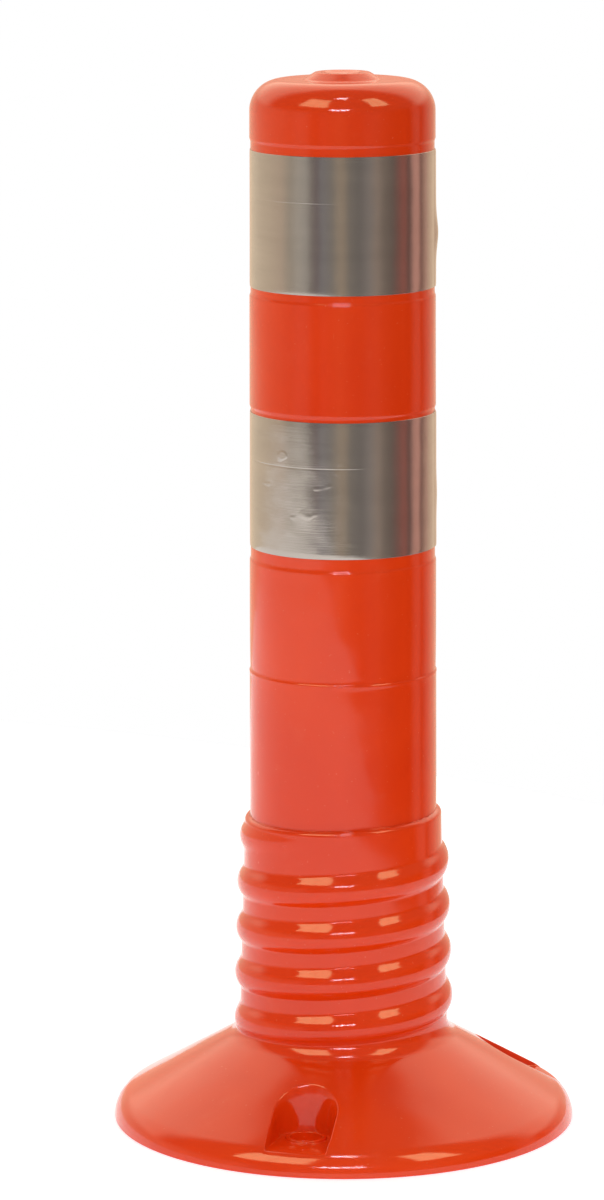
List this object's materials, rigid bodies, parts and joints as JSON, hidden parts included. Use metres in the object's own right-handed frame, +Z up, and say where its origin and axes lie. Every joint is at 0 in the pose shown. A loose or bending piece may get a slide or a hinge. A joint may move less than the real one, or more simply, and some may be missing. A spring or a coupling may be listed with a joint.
{
  "type": "delineator post",
  "caption": "Flexible road delineator post: hollow moulded tube on a flared foot, with a helically ribbed bending zone, a closed cap, bolt pockets and reflective bands.",
  "frame": {"origin": "centre of the foot's underside, on the road surface", "axes": "+Z up the post, -Y towards the front, where one bolt pocket lies a little to the left of the middle"},
  "size_m": [0.198, 0.198, 0.45],
  "materials": {
    "moulding": "glossy orange-red flexible plastic",
    "reflective_film": "silver-grey retroreflective film with a brushed look"
  },
  "bodies": {
    "foot_body": {"foot": "moulding"},
    "flex_link_01": {"flex_slice_01": "moulding"},
    "flex_link_02": {"flex_slice_02": "moulding"},
    "flex_link_03": {"flex_slice_03": "moulding"},
    "flex_link_04": {"flex_slice_04": "moulding"},
    "flex_link_05": {"flex_slice_05": "moulding"},
    "flex_link_06": {"flex_slice_06": "moulding"},
    "flex_link_07": {"flex_slice_07": "moulding"},
    "flex_link_08": {"flex_slice_08": "moulding"},
    "flex_link_09": {"flex_slice_09": "moulding"},
    "flex_link_10": {"flex_slice_10": "moulding"},
    "flex_link_11": {"flex_slice_11": "moulding"},
    "post_body": {"upper_tube": "moulding", "reflective_band_upper": "reflective_film", "reflective_band_lower": "reflective_film"}
  },
  "joints": [
    {"name": "lean_front_back", "type": "hinge", "parent": "foot_body", "child": "flex_link_01", "pos_m": [0, 0, 0.041], "axis": [1, 0, 0], "range_deg": [-6.7, 6.7], "stiffness_Nm_per_rad": 144, "deforming": ["flex_slice_01"]},
    {"name": "lean_left_right", "type": "hinge", "parent": "flex_link_01", "child": "flex_link_02", "pos_m": [0, 0, 0.05001], "axis": [0, 1, 0], "range_deg": [-6.7, 6.7], "stiffness_Nm_per_rad": 144, "deforming": ["flex_slice_02"]},
    {"name": "lean_front_back_2", "type": "hinge", "parent": "flex_link_02", "child": "flex_link_03", "pos_m": [0, 0, 0.05902], "axis": [1, 0, 0], "range_deg": [-6.7, 6.7], "stiffness_Nm_per_rad": 144, "deforming": ["flex_slice_03"]},
    {"name": "lean_left_right_2", "type": "hinge", "parent": "flex_link_03", "child": "flex_link_04", "pos_m": [0, 0, 0.06803], "axis": [0, 1, 0], "range_deg": [-6.7, 6.7], "stiffness_Nm_per_rad": 144, "deforming": ["flex_slice_04"]},
    {"name": "lean_front_back_3", "type": "hinge", "parent": "flex_link_04", "child": "flex_link_05", "pos_m": [0, 0, 0.07704], "axis": [1, 0, 0], "range_deg": [-6.7, 6.7], "stiffness_Nm_per_rad": 144, "deforming": ["flex_slice_05"]},
    {"name": "lean_left_right_3", "type": "hinge", "parent": "flex_link_05", "child": "flex_link_06", "pos_m": [0, 0, 0.08604], "axis": [0, 1, 0], "range_deg": [-6.7, 6.7], "stiffness_Nm_per_rad": 144, "deforming": ["flex_slice_06"]},
    {"name": "lean_front_back_4", "type": "hinge", "parent": "flex_link_06", "child": "flex_link_07", "pos_m": [0, 0, 0.09505], "axis": [1, 0, 0], "range_deg": [-6.7, 6.7], "stiffness_Nm_per_rad": 144, "deforming": ["flex_slice_07"]},
    {"name": "lean_left_right_4", "type": "hinge", "parent": "flex_link_07", "child": "flex_link_08", "pos_m": [0, 0, 0.10406], "axis": [0, 1, 0], "range_deg": [-6.7, 6.7], "stiffness_Nm_per_rad": 144, "deforming": ["flex_slice_08"]},
    {"name": "lean_front_back_5", "type": "hinge", "parent": "flex_link_08", "child": "flex_link_09", "pos_m": [0, 0, 0.11307], "axis": [1, 0, 0], "range_deg": [-6.7, 6.7], "stiffness_Nm_per_rad": 144, "deforming": ["flex_slice_09"]},
    {"name": "lean_left_right_5", "type": "hinge", "parent": "flex_link_09", "child": "flex_link_10", "pos_m": [0, 0, 0.12208], "axis": [0, 1, 0], "range_deg": [-6.7, 6.7], "stiffness_Nm_per_rad": 144, "deforming": ["flex_slice_10"]},
    {"name": "lean_front_back_6", "type": "hinge", "parent": "flex_link_10", "child": "flex_link_11", "pos_m": [0, 0, 0.13109], "axis": [1, 0, 0], "range_deg": [-6.7, 6.7], "stiffness_Nm_per_rad": 144, "deforming": ["flex_slice_11"]},
    {"name": "lean_left_right_6", "type": "hinge", "parent": "flex_link_11", "child": "post_body", "pos_m": [0, 0, 0.1401], "axis": [0, 1, 0], "range_deg": [-6.7, 6.7], "stiffness_Nm_per_rad": 144}
  ],
  "couplings": [
    {"joint": "lean_front_back_2", "follows": "lean_front_back", "ratio": 1},
    {"joint": "lean_left_right_2", "follows": "lean_left_right", "ratio": 1},
    {"joint": "lean_front_back_3", "follows": "lean_front_back", "ratio": 1},
    {"joint": "lean_left_right_3", "follows": "lean_left_right", "ratio": 1},
    {"joint": "lean_front_back_4", "follows": "lean_front_back", "ratio": 1},
    {"joint": "lean_left_right_4", "follows": "lean_left_right", "ratio": 1},
    {"joint": "lean_front_back_5", "follows": "lean_front_back", "ratio": 1},
    {"joint": "lean_left_right_5", "follows": "lean_left_right", "ratio": 1},
    {"joint": "lean_front_back_6", "follows": "lean_front_back", "ratio": 1},
    {"joint": "lean_left_right_6", "follows": "lean_left_right", "ratio": 1}
  ]
}
